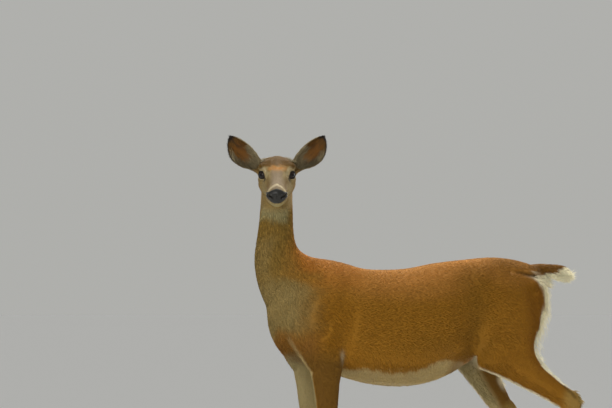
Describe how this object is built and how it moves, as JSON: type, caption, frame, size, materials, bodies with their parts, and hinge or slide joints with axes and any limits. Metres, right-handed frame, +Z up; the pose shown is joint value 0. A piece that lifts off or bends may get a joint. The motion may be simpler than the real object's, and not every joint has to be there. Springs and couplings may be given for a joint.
{
  "type": "white-tailed deer",
  "caption": "Life-size white-tailed doe in red summer coat, standing with her head turned to face her left side and her tail held out level.",
  "frame": {"origin": "on the floor, under the middle of the bounding box", "axes": "+Z up; the body lies along X with the chest towards -X; the left side, which the face is turned to, is towards -Y"},
  "size_m": [1.196, 0.4265, 1.2724],
  "materials": {
    "body_coat": "short red-brown summer hair, white under the belly and round the tail",
    "face_coat": "short grey-brown hair, dark-edged ears",
    "horn": "dark horn, satin",
    "nose": "damp black skin with fine pebbling",
    "eye": "wet dark brown"
  },
  "bodies": {
    "root": {"hoof_fore_left_outer": "horn", "dewclaw_fore_left_outer": "horn", "hoof_fore_left_inner": "horn", "dewclaw_fore_left_inner": "horn", "hoof_hind_left_outer": "horn", "dewclaw_hind_left_outer": "horn", "hoof_hind_left_inner": "horn", "dewclaw_hind_left_inner": "horn", "hoof_fore_right_outer": "horn", "dewclaw_fore_right_outer": "horn", "hoof_fore_right_inner": "horn", "dewclaw_fore_right_inner": "horn", "hoof_hind_right_outer": "horn", "dewclaw_hind_right_outer": "horn", "hoof_hind_right_inner": "horn", "dewclaw_hind_right_inner": "horn", "eye_left": "eye", "eye_right": "eye", "nose_pad": "nose", "foreleg_left_pastern": "body_coat", "foreleg_left_cannon": "body_coat", "foreleg_left_forearm": "body_coat", "hindleg_left_pastern": "body_coat", "hindleg_left_cannon": "body_coat", "hindleg_left_gaskin": "body_coat", "foreleg_right_pastern": "body_coat", "foreleg_right_cannon": "body_coat", "foreleg_right_forearm": "body_coat", "hindleg_right_pastern": "body_coat", "hindleg_right_cannon": "body_coat", "hindleg_right_gaskin": "body_coat", "tail": "body_coat", "ear_left": "face_coat", "ear_right": "face_coat", "head": "face_coat", "neck": "body_coat", "chest": "body_coat", "rump": "body_coat", "barrel": "body_coat"}
  },
  "joints": []
}
